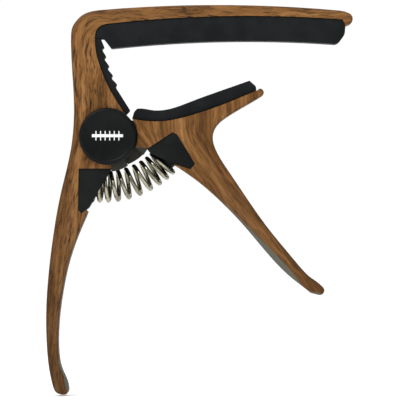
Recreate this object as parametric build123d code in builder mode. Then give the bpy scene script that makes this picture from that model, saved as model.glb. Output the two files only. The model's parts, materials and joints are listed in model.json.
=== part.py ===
"""Trigger capo for a guitar: a cast frame and a cast jaw on one pivot, closed by a bowed coil spring.

Frame: the origin is the crown of the string pad's pressing face. +X runs along the bar to its tip,
+Y runs along the guitar's neck, which is the pivot's direction, and +Z points away from the strings.
Millimetres.
"""

import math
import os

from build123d import *

# ---- driving dimensions -------------------------------------------------------------------------
fingerboard_radius = 305.0  # the pad's face is hollowed to a 12 inch fingerboard
string_pad_height = 6.15  # from the bar's underside to the strings
pivot_x, pivot_z = -34.4, -23.4

hub_half = 6.0  # half the width of both castings at the hub, where their sides are flat
bar_half = 5.5
waist_half = 5.1  # half the width of a handle at its slimmest
grip_half = 5.7  # and at its flared end
edge_round = 0.8
bevel_depth = 4.0  # how far in from the side the cutter of a grip's bevel reaches
jaw_bevel_half, frame_bevel_half = 5.1, 5.7  # each bevel's arc is given at this half width
jaw_bevel_x, jaw_bevel_z, jaw_bevel_radius = -70.7, -119.6, 102.4
frame_bevel_x, frame_bevel_z, frame_bevel_radius = -6.2, -74.4, 39.85

cap_radius = 7.0
cap_proud = 1.7  # how far each pivot cover stands out of the casting
cap_bevel = 0.6
spigot_radius = 4.57
spigot_wall = 0.65
spigot_depth = 1.3
cover_web = 0.95  # what is left of a cover over its hollow

cheek_radius = 6.9
cheek_inner = 3.2  # half the slot between the frame's two cheeks
apron_radius = 8.6  # the cheeks' lower edge, which hides the head of the spring
apron_to_deg = -55.5
slot_radius = 5.8  # the slot behind the pivot
slot_open_radius = 8.8  # the slot where the lug swings
slot_from_deg, slot_to_deg = -113.0, 38.5
lug_half = 2.8  # half the thickness of the jaw's lug, which turns in that slot
lug_radius = 5.5
lug_swing_radius = 7.7
lug_from_deg, lug_step_deg, lug_to_deg = -83.0, -54.0, 35.0
lug_step_radius, lug_heel_radius, lug_heel_deg = 8.4, 9.6, -28.0  # the lug widens towards the jaw's seat
jaw_relief_radius = 7.4  # the jaw's full width starts this far from the pivot

shank_radius = 2.0
shank_hole_radius = 2.02
bush_bore_radius = 2.03
bush_radius = 3.0
bush_hole_radius = 3.01
thread_radius = 1.5
counterbore_radius = 4.6
counterbore_depth = 1.5
screw_head_radius = 3.6
screw_head_height = 1.9
socket_across_flats = 3.0
socket_depth = 1.1
nut_across_flats = 5.5
nut_height = 2.1
washer_inner, washer_outer, washer_thickness = 2.2, 5.2, 0.3

wire_radius = 0.55
coil_radius = 3.45  # to the middle of the wire
coil_turns = 9.5
coil_crowding = 0.22  # how much closer the end coils stand than the average
spring_arc_radius = 21.1
spring_centre_x, spring_centre_z = -35.5, -14.7
spring_start_deg, spring_end_deg = -96.5, -43.5  # the ends of the bowed axis
seat_floor_deg = 2.0  # each seat's floor lies this far past the end of the axis
seat_half = 5.7
seat_cup_radius = 4.15
seat_peg_radius = 2.6
seat_peg_length = 2.6
seat_stub_radius = 1.25
seat_stub_length = 1.4
seat_gap = 0.03  # air between a seat and its casting, all round

pad_half = 5.2
tongue_half = 2.4
tongue_height = 0.8
tongue_gap = 0.03
strip_thickness = 1.5  # the silicone strip down the spine, without its teeth
tooth_height = 0.65
tooth_count = 5
toothed_share = 0.64  # how much of the strip's length is toothed, from the bar down

os.makedirs("parts", exist_ok=True)

side = Plane.XZ  # sketches lie in the capo's side view, and their normal is -Y


def about_pivot(radius, degrees):
    """The point of the side view that lies this far from the pivot, counted from +X towards +Z."""
    turn = math.radians(degrees)
    return (pivot_x + radius * math.cos(turn), pivot_z + radius * math.sin(turn))


def on_spring_arc(degrees, offset=0.0):
    """A point of the spring's bowed axis, or one that far outside it."""
    turn = math.radians(degrees)
    reach = spring_arc_radius + offset
    return (spring_centre_x + reach * math.cos(turn), spring_centre_z + reach * math.sin(turn))


def over_board(x, height):
    """Height above a fingerboard-shaped arc that is concentric with the pad's face."""
    reach = fingerboard_radius + height
    return (x, math.sqrt(reach**2 - x**2) - fingerboard_radius)


def board_arc(x_from, x_to, height):
    middle = (x_from + x_to) / 2
    ends = [over_board(x, height) for x in (x_from, middle, x_to)]
    return ThreePointArc(*ends)


# ---- outlines shared by a casting and the pad on it ---------------------------------------------
bar_start, bar_end = -34.4, 23.2  # the stretch of the bar's underside that carries the pad
spine_top = (-37.5, 0.6)
spine_foot = about_pivot(cheek_radius, 49.5)
corner_peak = over_board(bar_start, string_pad_height)
jaw_heel = about_pivot(jaw_relief_radius, 36.0)
jaw_tip = (2.1, -12.2)


def spine_curve():
    """The inner side of the spine, from the hub up to the corner under the bar."""
    return Spline(spine_foot, (-33.9, -11.8), (-36.6, -5.2), spine_top, tangents=((-0.55, 0.83), (0.02, 1)))


def corner_curve():
    """The hollow of the corner between the spine and the bar."""
    return Spline(spine_top, (-36.75, 3.2), corner_peak, tangents=((0.02, 1), (1, 0.11)))


def jaw_curve():
    """The top of the jaw, which cradles the back of the neck."""
    through = [jaw_heel, (-24.5, -19.65), (-20.2, -19.6), (-12.5, -17.8), jaw_tip]
    return Spline(*through, tangents=((1, -0.25), (1, 0.42)))


def side_from(half):
    """The side view's plane, moved back so that an extrusion of twice this amount is centred."""
    return side.offset(-half)


def pivot_plane(depth):
    """A plane across the pivot at this Y, seen from the front."""
    return Plane(origin=(pivot_x, depth, pivot_z), x_dir=(1, 0, 0), z_dir=(0, -1, 0))


def draw_widths(slim_z, slim_half, end_z, end_half, top_half):
    """The castings seen from the end: flat sides at the hub, a slimmer waist and a flared grip."""
    with BuildLine() as outline:
        for out in (1, -1):
            Line((out * top_half, 14), (out * top_half, -4))
            Spline((out * top_half, -4), (out * hub_half, -15), tangents=((0, -1), (0, -1)))
            Line((out * hub_half, -15), (out * hub_half, -31.5))
            waist = (out * slim_half, slim_z)
            grip = (out * end_half, end_z)
            Spline((out * hub_half, -31.5), waist, grip, tangents=((0, -1), (0, -1)))
            Line(grip, (out * end_half, -95))
        Line((-top_half, 14), (top_half, 14))
        Line((-end_half, -95), (end_half, -95))
    make_face(outline.edges())


def beside(rail, share, reach):
    """The point this far to the left of a curve, at this share of its length."""
    point = rail @ share
    along = rail % share
    return (point.X - reach * along.Y, point.Y + reach * along.X)


def draw_rib(rail, start, end, reach_from, reach_to):
    """A band that follows a curve, between two distances to the left of it."""
    shares = [start + (end - start) * step / 6 for step in range(7)]
    near = [beside(rail, share, reach_from) for share in shares]
    far = [beside(rail, share, reach_to) for share in reversed(shares)]
    with BuildLine() as outline:
        Spline(*near)
        Line(near[-1], far[0])
        Spline(*far)
        Line(far[-1], near[0])
    make_face(outline.edges())


def draw_board_rib(reach_from, reach_to):
    """The same for the bar's underside, between two heights over the strings."""
    left, right = bar_start + 3.0, bar_end - 2.0
    with BuildLine() as outline:
        board_arc(left, right, reach_from)
        Line(over_board(right, reach_from), over_board(right, reach_to))
        board_arc(left, right, reach_to)
        Line(over_board(left, reach_to), over_board(left, reach_from))
    make_face(outline.edges())


def beyond_side(edge):
    """An edge between a casting's outline and its front or back face, not a seam across that face."""
    return abs((edge @ 0.5).Y) > 4.5 and abs((edge @ 1).Z - (edge @ 0).Z) > 0.01


def on_frame_back(x, z):
    """On the frame's outer contour: the bar's top and tip, the spine's back and both sides of the grip."""
    return z > 7 or x > 25 or x < -42.4 or z < -42.4


def beyond_crotch(x, z):
    """On the jaw's outer contour: the arm's tip and underside, the crotch and the grip's outer side."""
    return x > 2.5 and z > -16 or x > 14.5 or z < -17 and x > -9.5 and z > -34 - 0.98 * (x + 9.5)


def cut_grip_bevel(x, z, radius, half):
    """A 45 degree bevel on the front and on the back, along an arc that is given at this half width."""
    for facing in (1, -1):
        start = Plane(origin=(x, -facing * (half + 1), z), x_dir=(1, 0, 0), z_dir=(0, facing, 0))
        with BuildSketch(start) as disc:
            Circle(radius + 1)
        extrude(disc.sketch, amount=bevel_depth, taper=45, mode=Mode.SUBTRACT)


spine_rail = spine_curve()
jaw_rail = jaw_curve()

frame_seat_corners = [(-33.5, -31.3), (-39.0, -40.9), (-40.8, -42.25), (-41.65, -41.4), (-41.45, -31.3)]
jaw_seat_corners = [
    (-24.75, -26.5),
    (-18.45, -22.4),
    (-17.35, -23.0),
    (-13.0, -30.1),
    (-14.1, -31.45),
    (-18.0, -30.2),
    (-21.4, -28.7),
    (-23.9, -27.6),
]


def seat_stub_plane(corners, first):
    """On a seat's back, across the middle of the side between two of its corners."""
    (x_a, z_a), (x_b, z_b) = corners[first], corners[first + 1]
    return Plane(
        origin=((x_a + x_b) / 2, 0, (z_a + z_b) / 2),
        x_dir=(0, 1, 0),
        z_dir=(z_a - z_b, 0, x_b - x_a),
    )


frame_stub = seat_stub_plane(frame_seat_corners, 3)
jaw_stub = seat_stub_plane(jaw_seat_corners, 2)


def spring_section(degrees, towards):
    """A plane across the spring's axis, facing along it or back."""
    turn = math.radians(degrees)
    x, z = on_spring_arc(degrees)
    facing = (-towards * math.sin(turn), 0, towards * math.cos(turn))
    return Plane(origin=(x, 0, z), x_dir=(0, 1, 0), z_dir=facing)


frame_floor = spring_section(spring_start_deg - seat_floor_deg, 1)
jaw_floor = spring_section(spring_end_deg + seat_floor_deg, -1)
spring_axis_line = Axis((spring_centre_x, 0, spring_centre_z), (0, -1, 0))
spring_sweep_deg = spring_end_deg - spring_start_deg + 2 * seat_floor_deg


# ---- frame: bar, spine and left handle in one casting -------------------------------------------
seat_brow = (-33.44, -31.3)  # where the apron starts, beside the seat's upper corner
apron_start = (-33.44, pivot_z - math.sqrt(apron_radius**2 - (pivot_x + 33.44) ** 2))
apron_end = about_pivot(apron_radius, apron_to_deg)
cheek_start = about_pivot(cheek_radius, apron_to_deg + 3)

with BuildPart() as frame:
    with BuildSketch(side_from(hub_half)):
        with BuildLine():
            board_arc(bar_start, bar_end, string_pad_height)
            Line(over_board(bar_end, string_pad_height), (23.95, 3.75))
            Spline((23.95, 3.75), (25.7, 5.3), (22.3, 7.5), tangents=((1, 0.15), (-1, 0.12)))
            ThreePointArc((22.3, 7.5), (-6.5, 8.85), (-36.3, 7.6))
            Spline((-36.3, 7.6), (-40.9, 6.15), (-42.75, 4.0), (-43.4, 0.2), tangents=((-1, -0.1), (0, -1)))
            Spline(
                (-43.4, 0.2),
                (-42.7, -14.0),
                (-43.35, -26.2),
                (-45.8, -37.0),
                (-48.2, -51.0),
                (-49.5, -68.0),
                (-49.0, -78.5),
                (-48.0, -84.0),
                tangents=((0, -1), (0.25, -1)),
            )
            Spline((-48.0, -84.0), (-46.1, -86.6), (-43.95, -85.3), tangents=((0.25, -1), (-0.1, 1)))
            Spline(
                (-43.95, -85.3),
                (-45.6, -80.6),
                (-46.5, -74.5),
                (-45.3, -61.0),
                (-42.9, -51.2),
                (-40.0, -43.9),
                (-39.2, -41.9),
                tangents=((-0.1, 1), (0.35, 1)),
            )
            Polyline((-39.2, -41.9), (-40.0, -41.2), (-34.5, -32.0), seat_brow, apron_start)
            ThreePointArc(apron_start, about_pivot(apron_radius, -68), apron_end)
            Line(apron_end, cheek_start)
            ThreePointArc(cheek_start, about_pivot(cheek_radius, -5), spine_foot)
            spine_curve()
            corner_curve()
        make_face()
    extrude(amount=2 * hub_half)
    with BuildSketch(Plane.YZ.offset(-60)):
        draw_widths(-56.0, waist_half, -82.0, grip_half, bar_half)
    extrude(amount=100, mode=Mode.INTERSECT)
    outline_edges = frame.edges().filter_by(beyond_side)
    outer_edges = outline_edges.filter_by(lambda edge: on_frame_back((edge @ 0.5).X, (edge @ 0.5).Z))
    fillet(outer_edges, radius=edge_round)
    cut_grip_bevel(frame_bevel_x, frame_bevel_z, frame_bevel_radius, frame_bevel_half)
    with BuildSketch(side_from(hub_half + 1)):
        with BuildLine():
            Polyline(*frame_seat_corners, close=True)
        make_face()
        offset(amount=seat_gap, kind=Kind.INTERSECTION, mode=Mode.REPLACE)
    extrude(amount=2 * hub_half + 2, mode=Mode.SUBTRACT)
    with BuildSketch(side_from(cheek_inner)):
        with Locations((pivot_x, pivot_z)):
            Circle(slot_radius)
        with BuildLine():
            sweep_deg = slot_to_deg - slot_from_deg
            opening = CenterArc((pivot_x, pivot_z), slot_open_radius, slot_from_deg, sweep_deg)
            Line(opening @ 1, (pivot_x, pivot_z))
            Line((pivot_x, pivot_z), opening @ 0)
        make_face()
    extrude(amount=2 * cheek_inner, mode=Mode.SUBTRACT)
    with BuildSketch(pivot_plane(0)):
        Circle(shank_hole_radius)
    extrude(amount=hub_half + 1, both=True, mode=Mode.SUBTRACT)
    with BuildSketch(pivot_plane(-hub_half), pivot_plane(hub_half - counterbore_depth)):
        Circle(counterbore_radius)
    extrude(amount=-counterbore_depth, mode=Mode.SUBTRACT)
    with BuildSketch(frame_stub):
        Circle(seat_stub_radius + seat_gap)
    extrude(amount=seat_stub_length + 0.1, mode=Mode.SUBTRACT)
    with BuildSketch(side_from(tongue_half + tongue_gap)):
        draw_rib(spine_rail, 0.12, 0.9, -0.4, tongue_height + tongue_gap)
        draw_board_rib(string_pad_height - 0.4, string_pad_height + tongue_height + tongue_gap)
    extrude(amount=2 * (tongue_half + tongue_gap), mode=Mode.SUBTRACT)
frame.part.label = "frame"
export_step(frame.part, "parts/frame.step")

# ---- jaw: the arm behind the neck, the lug and the right handle in one casting ------------------
with BuildPart() as jaw:
    with BuildSketch(side_from(hub_half)):
        with BuildLine():
            jaw_curve()
            Line(jaw_tip, (2.9, -11.65))
            ThreePointArc((2.9, -11.65), (3.88, -12.48), (3.44, -13.49))
            Spline(
                (3.44, -13.49),
                (-4.85, -18.45),
                (-8.1, -21.6),
                (-8.6, -24.0),
                (-7.9, -26.6),
                (-4.6, -32.1),
                (4.9, -45.8),
                (11.3, -53.6),
                (15.3, -57.9),
                (18.41, -60.34),
                tangents=((-0.84, -0.54), (0.7, -0.7)),
            )
            ThreePointArc((18.41, -60.34), (18.64, -61.64), (17.37, -62.28))
            Line((17.37, -62.28), (15.4, -61.8))
            Spline(
                (15.4, -61.8),
                (11.2, -58.5),
                (-0.5, -45.8),
                (-8.1, -38.0),
                (-12.7, -34.1),
                (-17.6, -30.7),
                tangents=((-0.75, 0.66), (-0.8, 0.55)),
            )
            Polyline((-17.6, -30.7), (-25.0, -28.6), (-27.4, -26.3))
            relief_start = about_pivot(jaw_relief_radius, -22.8)
            Line((-27.4, -26.3), relief_start)
            ThreePointArc(relief_start, about_pivot(jaw_relief_radius, 5), jaw_heel)
        make_face()
    extrude(amount=2 * hub_half)
    with BuildSketch(Plane.YZ.offset(-60)):
        draw_widths(-48.0, waist_half, -59.0, grip_half, hub_half)
    extrude(amount=100, mode=Mode.INTERSECT)
    outline_edges = jaw.edges().filter_by(beyond_side)
    outer_edges = outline_edges.filter_by(lambda edge: beyond_crotch((edge @ 0.5).X, (edge @ 0.5).Z))
    fillet(outer_edges, radius=edge_round)
    cut_grip_bevel(jaw_bevel_x, jaw_bevel_z, jaw_bevel_radius, jaw_bevel_half)
    with BuildSketch(side_from(hub_half + 1)):
        with BuildLine():
            Polyline(*jaw_seat_corners[:6], (-19.2, -33.0), (-27.0, -30.0), close=True)
        make_face()
        offset(amount=seat_gap, kind=Kind.INTERSECTION, mode=Mode.REPLACE)
    extrude(amount=2 * hub_half + 2, mode=Mode.SUBTRACT)
    with BuildSketch(side_from(lug_half)):
        with Locations((pivot_x, pivot_z)):
            Circle(lug_radius)
        with BuildLine():
            swing = CenterArc((pivot_x, pivot_z), lug_swing_radius, lug_from_deg, lug_step_deg - lug_from_deg)
            step = about_pivot(lug_step_radius, lug_step_deg)
            heel = about_pivot(lug_heel_radius, lug_heel_deg)
            Line(swing @ 1, step)
            ThreePointArc(step, (-27.65, -29.27), heel)
            Polyline(heel, (-24.9, -26.8), (-24.9, -21.5), (-27.6, -19.6), about_pivot(7.0, lug_to_deg))
            Line(about_pivot(7.0, lug_to_deg), (pivot_x, pivot_z))
            Line((pivot_x, pivot_z), swing @ 0)
        make_face()
    extrude(amount=2 * lug_half)
    with BuildSketch(pivot_plane(0)):
        Circle(bush_hole_radius)
    extrude(amount=lug_half + 1, both=True, mode=Mode.SUBTRACT)
    with BuildSketch(jaw_stub):
        Circle(seat_stub_radius + seat_gap)
    extrude(amount=seat_stub_length + 0.1, mode=Mode.SUBTRACT)
    with BuildSketch(side_from(tongue_half + tongue_gap)):
        draw_rib(jaw_rail, 0.08, 0.92, 0.4, -tongue_height - tongue_gap)
    extrude(amount=2 * (tongue_half + tongue_gap), mode=Mode.SUBTRACT)
jaw.part.label = "jaw"
export_step(jaw.part, "parts/jaw.step")

# ---- the three silicone pads, each with a tongue that keys it into its casting -------------------
butt = beside(spine_rail, 1, -strip_thickness - tooth_height)  # the two pads meet on this line

with BuildPart() as string_pad:
    with BuildSketch(side_from(pad_half)):
        with BuildLine():
            corner_curve()
            board_arc(bar_start, bar_end, string_pad_height)
            rim = over_board(bar_end, string_pad_height)
            Polyline(rim, (23.9, 3.7), (23.8, 2.2))
            Spline((23.8, 2.2), (22.9, 0.4), over_board(21.3, 0), tangents=((-0.1, -1), (-1, -0.05)))
            board_arc(-33.5, 21.3, 0)
            Polyline(over_board(-33.5, 0), butt, spine_top)
        make_face()
    extrude(amount=2 * pad_half)
    with BuildSketch(side_from(tongue_half)):
        draw_board_rib(string_pad_height - 0.3, string_pad_height + tongue_height)
    extrude(amount=2 * tongue_half)
string_pad.part.label = "string_pad"
export_step(string_pad.part, "parts/string_pad.step")


def draw_toothed_strip():
    """The strip down the spine: sawteeth below the bar, then plain to the hub."""
    top = 0.985
    pitch = top * toothed_share / tooth_count
    inner = [spine_foot, beside(spine_rail, 0.02, -strip_thickness)]
    inner.append(beside(spine_rail, top - pitch * tooth_count, -strip_thickness))
    for tooth in range(tooth_count):
        start = top - pitch * (tooth_count - tooth)
        inner.append(beside(spine_rail, start + 0.2 * pitch, -strip_thickness - tooth_height))
        inner.append(beside(spine_rail, start + pitch, -strip_thickness))
    with BuildLine() as outline:
        Polyline(*inner, beside(spine_rail, 1.0, -strip_thickness), spine_top)
        spine_curve()
    make_face(outline.edges())


with BuildPart() as spine_pad:
    with BuildSketch(side_from(pad_half)):
        draw_toothed_strip()
    extrude(amount=2 * pad_half)
    with BuildSketch(side_from(tongue_half)):
        draw_rib(spine_rail, 0.14, 0.88, -0.3, tongue_height)
    extrude(amount=2 * tongue_half)
spine_pad.part.label = "spine_pad"
export_step(spine_pad.part, "parts/spine_pad.step")

with BuildPart() as jaw_pad:
    with BuildSketch(side_from(pad_half)):
        with BuildLine():
            jaw_curve()
            Polyline(jaw_tip, (1.95, -11.1), (0.4, -9.7))
            Spline(
                (0.4, -9.7),
                (-7.0, -12.3),
                (-13.6, -14.7),
                (-19.2, -16.65),
                (-23.5, -16.95),
                (-26.0, -16.55),
                (-27.2, -16.6),
                tangents=((-1, -0.36), (-1, -0.1)),
            )
            Polyline((-27.2, -16.6), (-27.9, -17.4), jaw_heel)
        make_face()
    extrude(amount=2 * pad_half)
    with BuildSketch(side_from(tongue_half)):
        draw_rib(jaw_rail, 0.1, 0.9, 0.3, -tongue_height)
    extrude(amount=2 * tongue_half)
jaw_pad.part.label = "jaw_pad"
export_step(jaw_pad.part, "parts/jaw_pad.step")


# ---- the two moulded spring seats ---------------------------------------------------------------
def mould_seat(corners, floor, stub):
    """A wedge that fills its casting's notch, hollowed for the coil, with a peg inside the coil."""
    with BuildSketch(side_from(seat_half)) as wedge:
        with BuildLine() as outline:
            Polyline(*corners, close=True)
        make_face(outline.edges())
    extrude(wedge.sketch, amount=2 * seat_half)
    with BuildSketch(frame_floor) as cup:
        Circle(seat_cup_radius)
    revolve(cup.sketch, axis=spring_axis_line, revolution_arc=spring_sweep_deg, mode=Mode.SUBTRACT)
    with BuildSketch(floor.offset(-0.5)) as peg:
        Circle(seat_peg_radius)
    extrude(peg.sketch, amount=seat_peg_length + 0.5, taper=4)
    with BuildSketch(stub.offset(-0.3)) as stub_end:
        Circle(seat_stub_radius)
    extrude(stub_end.sketch, amount=seat_stub_length + 0.3)


with BuildPart() as frame_seat:
    mould_seat(frame_seat_corners, frame_floor, frame_stub)
frame_seat.part.label = "frame_seat"
export_step(frame_seat.part, "parts/frame_seat.step")

with BuildPart() as jaw_seat:
    mould_seat(jaw_seat_corners, jaw_floor, jaw_stub)
jaw_seat.part.label = "jaw_seat"
export_step(jaw_seat.part, "parts/jaw_seat.step")


# ---- the return spring, a helix wound round the bowed axis --------------------------------------
def coil_point(share):
    """The middle of the wire at this share of the spring's length."""
    along = share - coil_crowding * math.sin(2 * math.pi * share) / (2 * math.pi)
    degrees = spring_start_deg + (spring_end_deg - spring_start_deg) * along
    phase = 2 * math.pi * coil_turns * share
    x, z = on_spring_arc(degrees, coil_radius * math.cos(phase))
    return (x, coil_radius * math.sin(phase), z)


with BuildPart() as spring:
    with BuildLine() as wire:
        steps = round(12 * coil_turns)
        Spline(*[coil_point(step / steps) for step in range(steps + 1)])
    with BuildSketch(Plane(origin=wire.line @ 0, z_dir=wire.line % 0)):
        Circle(wire_radius)
    sweep(path=wire.line, is_frenet=True)
spring.part.label = "spring"
export_step(spring.part, "parts/spring.step")

# ---- pivot: covers, shoulder screw, nut, bush and thrust washers --------------------------------
with BuildPart() as front_cover:
    with BuildSketch(pivot_plane(-hub_half)):
        Circle(cap_radius)
    extrude(amount=cap_proud)
    chamfer(front_cover.faces().sort_by(Axis.Y)[0].edges(), length=cap_bevel)
    with BuildSketch(pivot_plane(-hub_half)):
        Circle(spigot_radius)
    extrude(amount=-spigot_depth)
    with BuildSketch(pivot_plane(-hub_half - cap_proud + cover_web)):
        Circle(spigot_radius - spigot_wall)
    extrude(amount=-(cap_proud - cover_web + spigot_depth), mode=Mode.SUBTRACT)
front_cover.part.label = "front_cover"
export_step(front_cover.part, "parts/front_cover.step")

with BuildPart() as back_cover:
    mirror(front_cover.part, about=Plane.XZ)
back_cover.part.label = "back_cover"
export_step(back_cover.part, "parts/back_cover.step")

head_seat = -hub_half + counterbore_depth  # the Y of the cheek's face under the screw's head
nut_seat = hub_half - counterbore_depth

with BuildPart() as pivot_screw:
    with BuildSketch(pivot_plane(head_seat)):
        Circle(screw_head_radius)
    extrude(amount=screw_head_height)
    chamfer(pivot_screw.faces().sort_by(Axis.Y)[0].edges(), length=0.3)
    with BuildSketch(pivot_plane(head_seat - screw_head_height)):
        RegularPolygon(radius=socket_across_flats / 2, side_count=6, major_radius=False)
    extrude(amount=-socket_depth, mode=Mode.SUBTRACT)
    with BuildSketch(pivot_plane(head_seat)):
        Circle(shank_radius)
    extrude(amount=-(nut_seat - head_seat - 0.1))
    with BuildSketch(pivot_plane(nut_seat - 0.1)):
        Circle(thread_radius)
    extrude(amount=-(nut_height + 0.1))
    chamfer(pivot_screw.faces().sort_by(Axis.Y)[-1].edges(), length=0.25)
pivot_screw.part.label = "pivot_screw"
export_step(pivot_screw.part, "parts/pivot_screw.step")

with BuildPart() as pivot_nut:
    with BuildSketch(pivot_plane(nut_seat)):
        RegularPolygon(radius=nut_across_flats / 2, side_count=6, major_radius=False)
        Circle(thread_radius + 0.02, mode=Mode.SUBTRACT)
    extrude(amount=-nut_height)
pivot_nut.part.label = "pivot_nut"
export_step(pivot_nut.part, "parts/pivot_nut.step")

with BuildPart() as pivot_bush:
    with BuildSketch(pivot_plane(lug_half)):
        Circle(bush_radius)
        Circle(bush_bore_radius, mode=Mode.SUBTRACT)
    extrude(amount=2 * lug_half)
pivot_bush.part.label = "pivot_bush"
export_step(pivot_bush.part, "parts/pivot_bush.step")

with BuildPart() as thrust_washers:
    for depth in (-lug_half - 0.05, lug_half + 0.05 + washer_thickness):
        with BuildSketch(pivot_plane(depth)):
            Circle(washer_outer)
            Circle(washer_inner, mode=Mode.SUBTRACT)
        extrude(amount=washer_thickness)
thrust_washers.part.label = "thrust_washers"
export_step(thrust_washers.part, "parts/thrust_washers.step")
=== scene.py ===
import bpy, bmesh, json, math
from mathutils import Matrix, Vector


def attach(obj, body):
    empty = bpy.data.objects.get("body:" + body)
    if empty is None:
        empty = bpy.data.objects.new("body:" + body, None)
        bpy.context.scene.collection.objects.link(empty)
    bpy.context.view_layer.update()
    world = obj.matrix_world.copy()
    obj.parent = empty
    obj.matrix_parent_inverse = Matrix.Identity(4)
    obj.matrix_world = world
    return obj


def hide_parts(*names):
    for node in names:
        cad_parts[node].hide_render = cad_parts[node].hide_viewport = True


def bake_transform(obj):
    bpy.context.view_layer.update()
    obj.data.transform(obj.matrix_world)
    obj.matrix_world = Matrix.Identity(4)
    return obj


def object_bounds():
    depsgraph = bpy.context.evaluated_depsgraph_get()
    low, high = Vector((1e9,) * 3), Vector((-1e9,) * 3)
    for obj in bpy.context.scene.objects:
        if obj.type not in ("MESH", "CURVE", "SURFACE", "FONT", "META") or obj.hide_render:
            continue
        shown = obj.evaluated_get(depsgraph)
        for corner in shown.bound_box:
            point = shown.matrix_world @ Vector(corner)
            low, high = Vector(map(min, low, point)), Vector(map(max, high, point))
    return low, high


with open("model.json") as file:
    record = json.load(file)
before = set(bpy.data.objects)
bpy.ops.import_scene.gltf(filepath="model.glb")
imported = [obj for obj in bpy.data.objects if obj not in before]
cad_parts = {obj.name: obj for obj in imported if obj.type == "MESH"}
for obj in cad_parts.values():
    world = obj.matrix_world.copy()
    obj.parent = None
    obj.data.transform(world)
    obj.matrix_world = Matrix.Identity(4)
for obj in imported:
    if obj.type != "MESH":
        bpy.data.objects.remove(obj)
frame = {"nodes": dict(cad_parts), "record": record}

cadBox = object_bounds()
nodes = frame["nodes"]
mm = 0.001
mounts = {mount["name"]: Vector(mount["pos_m"]) for mount in frame["record"]["mounts"]}
pivotX, pivotZ = mounts["rest_face"].x, mounts["rest_face"].z
print("frame loaded:", len(nodes), "nodes")


# A socket that grows its own nodes, in a shader tree or a geometry tree.
class Sock:
    def __init__(self, tree, socket=None):
        self.tree = tree
        self.socket = socket

    def node(self, kind, settings=None, sockets=None, out=0):
        made = self.tree.nodes.new(kind)
        for name, value in (settings or {}).items():
            if name == "stops":
                ramp = made.color_ramp
                while len(ramp.elements) < len(value):
                    ramp.elements.new(0.5)
                for element, (position, colour) in zip(ramp.elements, value):
                    element.position = position
                    element.color = colour
            else:
                setattr(made, name, value)
        for key, value in (sockets or {}).items():
            if isinstance(value, Sock):
                self.tree.links.new(value.socket, made.inputs[key])
            else:
                made.inputs[key].default_value = value
        return Sock(self.tree, made.outputs[out])

    def math(self, operation, *values):
        return self.node("ShaderNodeMath", {"operation": operation}, dict(enumerate([self, *values])))

    def __add__(self, other): return self.math("ADD", other)
    def __radd__(self, other): return self.math("ADD", other)
    def __sub__(self, other): return self.math("SUBTRACT", other)
    def __rsub__(self, other): return (self * -1.0) + other
    def __mul__(self, other): return self.math("MULTIPLY", other)
    def __rmul__(self, other): return self.math("MULTIPLY", other)
    def __truediv__(self, other): return self.math("DIVIDE", other)
    def __abs__(self): return self.math("ABSOLUTE")

    def axes(self):
        return [self.node("ShaderNodeSeparateXYZ", None, {0: self}, axis) for axis in range(3)]

    def vector(self, x, y, z):
        return self.node("ShaderNodeCombineXYZ", None, {0: x, 1: y, 2: z})

    def rise(self, low, high):
        return self.node("ShaderNodeMapRange", {"interpolation_type": "SMOOTHSTEP"},
                         {"Value": self, "From Min": low, "From Max": high})

    def noise(self, scale=1.0, detail=2.0, rough=0.5):
        return self.node("ShaderNodeTexNoise", None,
                         {"Vector": self, "Scale": scale, "Detail": detail, "Roughness": rough})

    def mix(self, under, over):
        return self.node("ShaderNodeMix", {"data_type": "RGBA"}, {0: self, 6: under, 7: over}, 2)

    def bump(self, strength, depth):
        return self.node("ShaderNodeBump", None, {"Strength": strength, "Distance": depth, "Height": self})


def shade(red, green, blue):
    levels = [level / 255 for level in (red, green, blue)]
    return (*[level / 12.92 if level <= 0.04045 else ((level + 0.055) / 1.055) ** 2.4 for level in levels], 1.0)


def makeMaterial(name, pattern, fixed):
    material = bpy.data.materials.new(name)
    material.use_nodes = True
    tree = material.node_tree
    shader = tree.nodes["Principled BSDF"]
    for label, value in pattern(Sock(tree)).items():
        tree.links.new(value.socket, shader.inputs[label])
    for label, value in fixed.items():
        shader.inputs[label].default_value = value
    return material


def dress(piece, material):
    piece.data.materials.clear()
    piece.data.materials.append(material)


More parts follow.
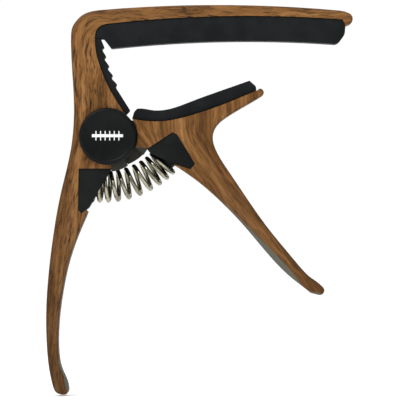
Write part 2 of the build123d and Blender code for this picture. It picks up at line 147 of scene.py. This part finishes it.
# Printed wood film on both castings, over grey primer that shows where the film stops.
# Each layer of the grain is a noise stretched along the grain, pulled about by a slow drift.
film = {
    "dark": shade(74, 45, 14), "mid": shade(112, 74, 34), "goldenAndPaintedLight": shade(156, 110, 64),
    "streakAndPaintedShade": shade(50, 29, 9), "pore": shade(32, 18, 6),
    "primer": shade(92, 92, 82), "primerPaintedShade": shade(50, 49, 43),
    "drift": {"along": 0.05, "across": 0.15, "deep": 0.1},
    "bands": {"along": 0.035, "across": 0.5, "pull": 2.6, "deep": 0.3, "shift": 0.0, "detail": 4.0, "rough": 0.6},
    "streaks": {"along": 0.2, "across": 1.6, "pull": 1.0, "deep": 1.4, "shift": 0.0, "detail": 4.0, "rough": 0.62},
    "fibres": {"along": 0.4, "across": 6.5, "pull": 0.0, "deep": 5.0, "shift": 0.0, "detail": 2.0, "rough": 0.5},
    "crowd": {"along": 0.09, "across": 0.5, "pull": 0.0, "deep": 0.4, "shift": 7.0, "detail": 2.0, "rough": 0.5},
    "pores": {"along": 0.36, "across": 3.2, "pull": 1.0, "deep": 3.0, "shift": 0.0, "detail": 1.5, "rough": 0.5},
    "bandStops": (0.34, 0.5, 0.66), "streakEdge": (0.47, 0.63), "fibreEdge": (0.42, 0.7),
    "crowdEdge": (0.36, 0.54), "poreEdge": (0.55, 0.65),
    "streakShare": 0.66, "fibreShare": 0.4, "poreShare": 0.8,
    # painted light at the top of the bar and painted shade towards the grips, set by height
    "paintedLightAbove": (-3.0, 5.0), "paintedLightShare": 0.3, "paintedShadeBelow": (-14.0, -84.0), "paintedShadeShare": 0.62,
    "shadedRimFacing": (0.3, 0.97), "paintedRimShade": 0.35,
    "roughness": 0.45, "poreRoughness": 0.2, "primerRoughness": 0.16,
    "fibreRise": 0.25, "bumpStrength": 0.3, "bumpDepth": 0.04,
}


def grainLayer(along, across, y, drift, size):
    at = along.vector(along * size["along"], across * size["across"] + drift * size["pull"],
                      y * size["deep"] + size["shift"])
    return at.noise(1.0, size["detail"], size["rough"])


def filmPattern(grain, primer, boldness):
    def pattern(start):
        x, y, z = [axis / mm for axis in start.node("ShaderNodeTexCoord", out="Object").axes()]
        facing = start.node("ShaderNodeTexCoord", out="Normal").axes()
        along, across = grain(x, z)
        slow = film["drift"]
        drift = start.vector(along * slow["along"], across * slow["across"], y * slow["deep"]).noise()
        bands, streaks, fibres, crowd, pores = [
            grainLayer(along, across, y, drift, film[layer])
            for layer in ("bands", "streaks", "fibres", "crowd", "pores")]
        stops = list(zip(film["bandStops"], (film["dark"], film["mid"], film["goldenAndPaintedLight"])))
        wood = bands.node("ShaderNodeValToRGB", {"stops": stops}, {0: bands})
        # painted light: the film turns golden towards the top of the bar, standing in for light from above
        wood = (z.rise(*film["paintedLightAbove"]) * film["paintedLightShare"]).mix(wood, film["goldenAndPaintedLight"])
        dashes = pores.rise(*film["poreEdge"]) * crowd.rise(*film["crowdEdge"]) * boldness
        wood = (streaks.rise(*film["streakEdge"]) * film["streakShare"] * boldness).mix(wood, film["streakAndPaintedShade"])
        wood = (fibres.rise(*film["fibreEdge"]) * film["fibreShare"] * boldness).mix(wood, film["goldenAndPaintedLight"])
        wood = (dashes * film["poreShare"]).mix(wood, film["pore"])
        # painted shade: the film darkens towards the grips, standing in for light falling off away from the lamp
        wood = (z.rise(*film["paintedShadeBelow"]) * film["paintedShadeShare"]).mix(wood, film["streakAndPaintedShade"])
        # painted shade where a side rolls over into an edge, a dark rim standing in for the shading on the rounded
        # edge
        flat = abs(facing[1]).rise(*film["shadedRimFacing"])
        wood = (flat * (1 - flat) * 4 * film["paintedRimShade"]).mix(wood, film["streakAndPaintedShade"])
        bare, deep = primer(x, y, z, facing)
        # the grey primer is the casting's own colour; the darker primer in the recesses is painted shade
        coat = deep.mix(film["primer"], film["primerPaintedShade"])
        relief = fibres * film["fibreRise"] - dashes * (1 - bare)
        return {
            "Base Color": bare.mix(wood, coat),
            "Roughness": dashes * film["poreRoughness"] + bare * film["primerRoughness"] + film["roughness"],
            "Normal": relief.bump(film["bumpStrength"], film["bumpDepth"] * mm),
        }
    return pattern


# Along the bar, round the corner, then down the spine and the bowed handle.
frameLines = {"cornerX": 36.0, "bowBelow": 24.0, "lean": 0.2, "bow": 0.0017, "turnLength": 4.0,
              "rippleScale": 0.22, "ripple": 1.4}


def frameGrain(x, z):
    fall = (z * -1.0 - frameLines["bowBelow"]).math("MAXIMUM", 0.0)
    fromX = x + frameLines["cornerX"] + fall * frameLines["lean"] - fall * fall * frameLines["bow"]
    right, left = fromX.math("MAXIMUM", 0.0), (fromX * -1.0).math("MAXIMUM", 0.0)
    down, up = (z * -1.0).math("MAXIMUM", 0.0), z.math("MAXIMUM", 0.0)
    outside = (left * left + up * up).math("SQRT")
    scale = frameLines["rippleScale"]
    ripple = x.vector(x * scale, 0.0, z * scale).noise() * frameLines["ripple"]
    along = right - down + up.math("ARCTAN2", left) * frameLines["turnLength"]
    return along, outside - right.math("MINIMUM", down) + ripple


# Upright across the arm, fanned towards the hub, and bending down along the handle.
jawLines = {"bendBelow": 21.0, "bendEase": 7.0, "bend": 0.82, "stretch": 0.2, "fan": (-15.0, -25.0), "fanLean": 0.33}


def jawGrain(x, z):
    fall = (z * -1.0 - jawLines["bendBelow"]).math("MAXIMUM", 0.0)
    bend = fall * fall / (fall + jawLines["bendEase"]) * jawLines["bend"]
    return fall * jawLines["stretch"] - z, x - bend + z * x.rise(*jawLines["fan"]) * jawLines["fanLean"]


# Where the frame has no film: the apron and slot round the pivot, the handle's inner side and its bevel. The apron
# and slot take the darker primer, which is painted shade for the recess round the pivot.
frameBare = {
    "apronRight": (0.85, 0.9), "apronDown": (4.0, 4.1), "slotHalf": (3.3, 3.25), "slotReach": (8.95, 8.9),
    "slotLeft": (-7.1, -7.0), "inward": (0.98, -0.2), "insideFacing": (0.9, 0.97), "insideBelow": (-41.0, -42.0),
    "bevelFacing": (0.5, 0.62), "bevelBelow": (-77.5, -78.5),
}


def framePrimer(x, y, z, facing):
    fromX, fromZ = x - pivotX / mm, z - pivotZ / mm
    apron = fromX.rise(*frameBare["apronRight"]) * (fromZ * -1.0).rise(*frameBare["apronDown"])
    reach = (fromX * fromX + fromZ * fromZ).math("SQRT")
    slot = abs(y).rise(*frameBare["slotHalf"]) * reach.rise(*frameBare["slotReach"])
    slot = slot * fromX.rise(*frameBare["slotLeft"])
    inward = facing[0] * frameBare["inward"][0] + facing[2] * frameBare["inward"][1]
    inside = inward.rise(*frameBare["insideFacing"]) * z.rise(*frameBare["insideBelow"])
    bevel = inward.rise(*frameBare["bevelFacing"]) * z.rise(*frameBare["bevelBelow"])
    deep = apron.math("MAXIMUM", slot)
    return deep.math("MAXIMUM", inside).math("MAXIMUM", bevel), deep


# Where the jaw has none: the lug, the corner under it and the handle's inner side. The lug and the corner under it
# take the darker primer, which is painted shade where they sit in shadow by the pivot.
jawBare = {
    "lugHalf": (3.1, 3.0), "lugLeft": (-24.6, -24.8), "cornerBelow": (-26.1, -26.2), "cornerLeft": (-24.3, -24.4),
    "inward": (-0.69, -0.72), "insideFacing": (0.25, 0.5), "insideBelow": (-25.5, -26.5),
}


def jawPrimer(x, y, z, facing):
    lug = abs(y).rise(*jawBare["lugHalf"]) * x.rise(*jawBare["lugLeft"])
    lug = lug.math("MAXIMUM", z.rise(*jawBare["cornerBelow"]) * x.rise(*jawBare["cornerLeft"]))
    inward = facing[0] * jawBare["inward"][0] + facing[2] * jawBare["inward"][1]
    inside = inward.rise(*jawBare["insideFacing"]) * z.rise(*jawBare["insideBelow"])
    return lug.math("MAXIMUM", inside), lug


filmFinish = {"Coat Weight": 0.06, "Coat Roughness": 0.2, "Specular IOR Level": 0.12}
boldness = {"frame": 1.0, "jaw": 0.62}
frameFilm = makeMaterial("frameFilm", filmPattern(frameGrain, framePrimer, boldness["frame"]), filmFinish)
jawFilm = makeMaterial("jawFilm", filmPattern(jawGrain, jawPrimer, boldness["jaw"]), filmFinish)
dress(nodes["frame"], frameFilm)
dress(nodes["jaw"], jawFilm)
print("wood film on both castings")


# Moulded parts: a fine spark texture, with cloudy sheen.
moulding = {"cloudScale": 160.0, "cloudEdge": (0.32, 0.7), "cloudSheen": 0.14, "grainStrength": 0.4}


def mouldedPattern(base, lighter, roughness, grainScale, grainDepth):
    def pattern(start):
        at = start.node("ShaderNodeTexCoord", out="Object")
        cloud, grain = at.noise(moulding["cloudScale"], 3.0, 0.6), at.noise(grainScale, 2.0)
        return {
            "Base Color": cloud.rise(*moulding["cloudEdge"]).mix(base, lighter),
            "Roughness": cloud * moulding["cloudSheen"] + (roughness - moulding["cloudSheen"] / 2),
            "Normal": grain.bump(moulding["grainStrength"], grainDepth * mm),
        }
    return pattern


metalwork = {"markStretch": (1.0, 6.0, 1.0), "cloudScale": 260.0, "cloudEdge": (0.35, 0.65), "markSheen": 0.12,
             "markStrength": 0.12, "markDepth": 0.02}


def metalPattern(base, darker, roughness, markScale):
    def pattern(start):
        at = start.node("ShaderNodeTexCoord", out="Object")
        stretched = at.node("ShaderNodeMapping", None, {"Vector": at, "Scale": metalwork["markStretch"]})
        marks = stretched.noise(markScale, 4.0, 0.7)
        cloud = at.noise(metalwork["cloudScale"], 2.0)
        return {
            "Base Color": cloud.rise(*metalwork["cloudEdge"]).mix(darker, base),
            "Roughness": marks * metalwork["markSheen"] + roughness,
            "Normal": marks.bump(metalwork["markStrength"], metalwork["markDepth"] * mm),
        }
    return pattern


rubberFinish = {"Specular IOR Level": 0.11}
siliconeBlack = makeMaterial(
    "siliconeBlack", mouldedPattern(shade(15, 18, 19), shade(24, 27, 28), 0.55, 2600.0, 0.03), rubberFinish)
seatNylon = makeMaterial(
    "seatNylon", mouldedPattern(shade(14, 16, 16), shade(22, 24, 24), 0.48, 3400.0, 0.02), rubberFinish)
coverSatin = makeMaterial(
    "coverSatin", mouldedPattern(shade(10, 13, 13), shade(17, 20, 20), 0.4, 4200.0, 0.012), rubberFinish)
washerNylon = makeMaterial(
    "washerNylon", mouldedPattern(shade(196, 190, 172), shade(208, 202, 186), 0.5, 3000.0, 0.01), {})
printWhite = makeMaterial(
    "printWhite", mouldedPattern(shade(226, 228, 228), shade(240, 241, 241), 0.5, 5200.0, 0.008), {})
metalFinish = {"Metallic": 1.0}
springNickel = makeMaterial(
    "springNickel", metalPattern((0.40, 0.38, 0.29, 1.0), (0.2, 0.19, 0.13, 1.0), 0.1, 1800.0), metalFinish)
zincSteel = makeMaterial(
    "zincSteel", metalPattern((0.5, 0.51, 0.52, 1.0), (0.36, 0.37, 0.38, 1.0), 0.3, 1400.0), metalFinish)
turnedBrass = makeMaterial(
    "turnedBrass", metalPattern((0.68, 0.48, 0.2, 1.0), (0.5, 0.34, 0.13, 1.0), 0.28, 1600.0), metalFinish)
for name, material in {"pivot_screw": zincSteel, "pivot_nut": zincSteel, "pivot_bush": turnedBrass,
                       "thrust_washers": washerNylon}.items():
    dress(nodes[name], material)
print("moulded and metal finishes")


def addPiece(name, mesh, material, body, slot, *stoodFor):
    piece = bpy.data.objects.new(name, mesh)
    bpy.context.collection.objects.link(piece)
    dress(piece, material)
    if body:
        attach(piece, body)
    if stoodFor:
        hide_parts(*stoodFor)
    return piece


def baked(holder):
    bpy.context.view_layer.update()
    solved = holder.evaluated_get(bpy.context.evaluated_depsgraph_get())
    mesh = bpy.data.meshes.new_from_object(solved)
    bpy.data.objects.remove(holder)
    return mesh


# A merged copy of a CAD solid with its edges rolled over, as a mould leaves them.
def rolledCopy(node, edge):
    mesh = nodes[node].data.copy()
    work = bmesh.new()
    work.from_mesh(mesh)
    bmesh.ops.remove_doubles(work, verts=work.verts, dist=edge["weld"] * mm)
    bmesh.ops.dissolve_limit(work, angle_limit=math.radians(edge["flatDegrees"]), verts=work.verts,
                             edges=work.edges)
    bmesh.ops.recalc_face_normals(work, faces=work.faces)
    for face in work.faces:
        face.smooth = True
    work.to_mesh(mesh)
    work.free()
    holder = bpy.data.objects.new(node + "Holder", mesh)
    bpy.context.collection.objects.link(holder)
    roll = holder.modifiers.new("roll", "BEVEL")
    roll.width = edge["roll"] * mm
    roll.segments = edge["steps"]
    roll.limit_method = "ANGLE"
    roll.angle_limit = math.radians(edge["sharpDegrees"])
    roll.harden_normals = True
    return baked(holder)


pads = {"roll": 0.28, "steps": 3, "sharpDegrees": 28.0, "flatDegrees": 0.4, "weld": 0.002, "fill": 1.0}
for node, body in {"string_pad": "frame", "spine_pad": "frame", "jaw_pad": "jaw"}.items():
    pad = addPiece(node + "_rubber", rolledCopy(node, pads), siliconeBlack, body, "silicone", node)
print("pads")

seats = {"roll": 0.22, "steps": 3, "sharpDegrees": 28.0, "flatDegrees": 0.4, "weld": 0.002}
for node, body in {"frame_seat": "frame", "jaw_seat": "jaw"}.items():
    addPiece(node + "_moulding", rolledCopy(node, seats), seatNylon, body, "seat_plastic", node)
print("spring seats")


# Turned round the pivot, from a profile of radius and depth in millimetres.
def turned(profile, side, sizes):
    work = bmesh.new()
    points = [work.verts.new((pivotX + radius * mm, side * depth * mm, pivotZ)) for radius, depth in profile]
    rim = [work.edges.new(pair) for pair in zip(points, points[1:])]
    bmesh.ops.spin(work, geom=points + rim, cent=(pivotX, 0, pivotZ), axis=(0, 1, 0), angle=math.tau,
                   steps=sizes["steps"], use_duplicate=False)
    bmesh.ops.remove_doubles(work, verts=work.verts, dist=sizes["weld"] * mm)
    bmesh.ops.recalc_face_normals(work, faces=work.faces)
    for face in work.faces:
        face.smooth = True
    mesh = bpy.data.meshes.new("turned")
    work.to_mesh(mesh)
    work.free()
    mesh.set_sharp_from_angle(angle=math.radians(sizes["sharpDegrees"]))
    return mesh


cover = {
    "proud": 7.7, "base": 6.0, "radius": 7.0, "bevel": 0.75, "bevelFall": 0.9, "bevelSteps": 6, "land": 0.28,
    "dish": 0.16, "dishBlend": 0.12, "dishRise": 0.05, "landBlend": 0.1, "foot": 0.02,
    "spigot": 4.57, "spigotInner": 3.92, "spigotEnd": 4.7, "web": 6.75,
    "steps": 96, "weld": 0.001, "sharpDegrees": 50.0,
}
bevelStart = cover["radius"] - cover["bevel"]
faceRadius = bevelStart - cover["land"]
faceDepth = cover["proud"] - cover["dish"]
coverProfile = [(0.0, faceDepth), (faceRadius - cover["dishBlend"], faceDepth)]
coverProfile += [(faceRadius, faceDepth + cover["dishRise"]), (faceRadius + cover["landBlend"], cover["proud"])]
for step in range(cover["bevelSteps"] + 1):
    turn = step / cover["bevelSteps"] * math.pi / 2
    coverProfile.append((bevelStart + cover["bevel"] * math.sin(turn),
                         cover["proud"] - cover["bevel"] * cover["bevelFall"] * (1 - math.cos(turn))))
coverProfile += [(cover["radius"], cover["base"] + cover["foot"]), (cover["radius"] - cover["foot"], cover["base"])]
coverProfile += [(cover["spigot"], cover["base"]), (cover["spigot"], cover["spigotEnd"])]
coverProfile += [(cover["spigotInner"], cover["spigotEnd"]), (cover["spigotInner"], cover["web"])]
coverProfile += [(0.0, cover["web"])]
for node, side in {"front_cover": -1, "back_cover": 1}.items():
    addPiece(node + "_cap", turned(coverProfile, side, cover), coverSatin, "frame", "cover_plastic", node)
print("pivot covers")


# A geometry tree from named sizes; its result is turned into a plain mesh.
def grown(name, sizes, grow, material):
    tree = bpy.data.node_groups.new(name + "Tree", "GeometryNodeTree")
    for label, value in sizes.items():
        kind = "NodeSocketInt" if isinstance(value, int) else "NodeSocketFloat"
        tree.interface.new_socket(label, in_out="INPUT", socket_type=kind)
    tree.interface.new_socket("Geometry", in_out="OUTPUT", socket_type="NodeSocketGeometry")
    entry = tree.nodes.new("NodeGroupInput")
    shape = grow(Sock(tree), {label: Sock(tree, entry.outputs[label]) for label in sizes})
    real = shape.node("GeometryNodeRealizeInstances", None, {"Geometry": shape})
    dressed = real.node("GeometryNodeSetMaterial", None, {"Geometry": real, "Material": material})
    tree.links.new(dressed.socket, tree.nodes.new("NodeGroupOutput").inputs["Geometry"])
    holder = bpy.data.objects.new(name + "Holder", bpy.data.meshes.new(name + "Holder"))
    bpy.context.collection.objects.link(holder)
    grower = holder.modifiers.new(name, "NODES")
    grower.node_group = tree
    for item in tree.interface.items_tree:
        if item.item_type == "SOCKET" and item.in_out == "INPUT":
            grower[item.identifier] = sizes[item.name]
    return baked(holder)


# The spring: a helix round a bowed axis, angles counted from +X towards +Z.
coil = {
    "Centre X": pivotX - 1.1 * mm, "Centre Z": pivotZ + 8.7 * mm, "Bow Radius": 21.1 * mm,
    "Coil Radius": 3.45 * mm, "Wire Radius": 0.53 * mm, "Turns": 9.5, "Crowding": 0.22,
    "From Angle": math.radians(-96.5), "To Angle": math.radians(-43.5), "Points": 533, "Sides": 14,
}


def growCoil(start, size):
    share = start.node("GeometryNodeInputIndex") / (size["Points"] - 1.0)
    evened = share - (share * math.tau).math("SINE") * size["Crowding"] / math.tau
    bow = size["From Angle"] + (size["To Angle"] - size["From Angle"]) * evened
    phase = size["Turns"] * share * math.tau
    reach = size["Bow Radius"] + size["Coil Radius"] * phase.math("COSINE")
    place = start.vector(size["Centre X"] + reach * bow.math("COSINE"), size["Coil Radius"] * phase.math("SINE"),
                         size["Centre Z"] + reach * bow.math("SINE"))
    line = start.node("GeometryNodeMeshLine", None, {"Count": size["Points"]})
    wound = line.node("GeometryNodeSetPosition", None, {"Geometry": line, "Position": place})
    path = wound.node("GeometryNodeMeshToCurve", None, {"Mesh": wound})
    ring = start.node("GeometryNodeCurvePrimitiveCircle", None,
                      {"Resolution": size["Sides"], "Radius": size["Wire Radius"]})
    wire = path.node("GeometryNodeCurveToMesh", None, {"Curve": path, "Profile Curve": ring, "Fill Caps": True})
    return wire.node("GeometryNodeSetShadeSmooth", None, {0: wire})


springMesh = grown("springWire", coil, growCoil, springNickel)
springWire = addPiece("spring_wire", springMesh, springNickel, None, "spring_steel")


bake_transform(springWire)
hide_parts("spring")
print("spring wound round a bowed axis from the frame to the jaw")

# A plain printed pictogram on the front cover: six strings under a bar.
mark = {
    "Strings": 6, "Spread": 5.6 * mm, "String Width": 0.24 * mm, "String Height": 2.3 * mm,
    "Bar Length": 7.6 * mm, "Bar Height": 0.72 * mm, "Film": 0.05 * mm, "Bar Film": 0.07 * mm,
    "Centre X": pivotX, "Centre Z": pivotZ + 0.15 * mm, "Depth": -(faceDepth - 0.005) * mm,
}


def growMark(start, size):
    gap = size["Spread"] / (size["Strings"] - 1.0)
    row = start.node("GeometryNodeMeshLine", None, {
        "Count": size["Strings"], "Start Location": start.vector(size["Spread"] * -0.5, 0.0, 0.0),
        "Offset": start.vector(gap, 0.0, 0.0)})
    stroke = start.node("GeometryNodeMeshCube", None, {
        "Size": start.vector(size["String Width"], size["Film"], size["String Height"])})
    strings = row.node("GeometryNodeInstanceOnPoints", None, {"Points": row, "Instance": stroke})
    bar = start.node("GeometryNodeMeshCube", None, {
        "Size": start.vector(size["Bar Length"], size["Bar Film"], size["Bar Height"])})
    both = start.node("GeometryNodeJoinGeometry", None, {"Geometry": strings})
    start.tree.links.new(bar.socket, both.socket.node.inputs["Geometry"])
    return both.node("GeometryNodeTransform", None, {
        "Geometry": both, "Translation": start.vector(size["Centre X"], size["Depth"], size["Centre Z"])})


addPiece("printed_mark", grown("printedMark", mark, growMark, printWhite), printWhite, "frame", "cover_plastic")
print("printed mark")

# Floor, light and camera.
studio = {
    "floorHalf": 30.0, "floorDrop": 0.0004, "floorShade": 0.93, "floorGlow": 0.28,
    "belt": 0.2, "sky": 0.95, "skyEdge": (-0.05, 0.75), "backdrop": 1.02,
    "keyPlace": (-0.25, -0.33, 0.36), "keySize": 0.25, "keyPower": 1.5,
    "fillPlace": (0.5, 0.4, 0.3), "fillSize": 0.5, "fillPower": 0.3,
}
low, high = [Vector(corner) for corner in cadBox]
middle = (low + high) / 2
half, floorZ = studio["floorHalf"], low.z - studio["floorDrop"]
floorMesh = bpy.data.meshes.new("floor")
floorCorners = [(-half, -half, floorZ), (half, -half, floorZ), (half, half, floorZ), (-half, half, floorZ)]
floorMesh.from_pydata(floorCorners, [], [(0, 1, 2, 3)])
floor = bpy.data.objects.new("floor", floorMesh)
bpy.context.collection.objects.link(floor)
floorPaint = makeMaterial("floorPaint", lambda start: {}, {
    "Base Color": (studio["floorShade"], studio["floorShade"], studio["floorShade"], 1.0),
    "Roughness": 1.0, "Specular IOR Level": 0.0,
    "Emission Color": (1.0, 1.0, 1.0, 1.0), "Emission Strength": studio["floorGlow"]})
dress(floor, floorPaint)

# Bright overhead and dim at the sides, but the camera sees plain white behind the capo.
world = bpy.data.worlds.new("studio")
bpy.context.scene.world = world
world.use_nodes = True
sky = Sock(world.node_tree)
backdrop = world.node_tree.nodes["Background"]
upward = sky.node("ShaderNodeTexCoord", out="Generated").axes()[2].rise(*studio["skyEdge"])
softbox = upward * (studio["sky"] - studio["belt"]) + studio["belt"]
seen = sky.node("ShaderNodeLightPath", out="Is Camera Ray")
strength = softbox * (1 - seen) + seen * studio["backdrop"]
world.node_tree.links.new(strength.socket, backdrop.inputs["Strength"])
backdrop.inputs["Color"].default_value = (1.0, 1.0, 1.0, 1.0)


def softLight(name, place, size, power):
    lamp = bpy.data.lights.new(name, "AREA")
    lamp.size = size
    lamp.energy = power
    holder = bpy.data.objects.new(name, lamp)
    holder.location = place
    holder.rotation_euler = (middle - Vector(place)).to_track_quat("-Z", "Y").to_euler()
    bpy.context.collection.objects.link(holder)


softLight("keyLight", studio["keyPlace"], studio["keySize"], studio["keyPower"])
softLight("fillLight", studio["fillPlace"], studio["fillSize"], studio["fillPower"])

view = {"lens": 500.0, "sensor": 36.0, "width": 0.098, "plane": -0.006, "right": 0.00015, "up": -0.00005,
        "farEnd": 200.0}
camera = bpy.data.cameras.new("camera")
camera.lens = view["lens"]
camera.sensor_width = view["sensor"]
camera.clip_end = view["farEnd"]
tripod = bpy.data.objects.new("camera", camera)
backOff = view["width"] * view["lens"] / view["sensor"]
tripod.location = (middle.x + view["right"], view["plane"] - backOff, middle.z + view["up"])
tripod.rotation_euler = (math.radians(90), 0, 0)
bpy.context.collection.objects.link(tripod)
bpy.context.scene.camera = tripod
bpy.context.scene.view_settings.view_transform = "Standard"
print("studio")
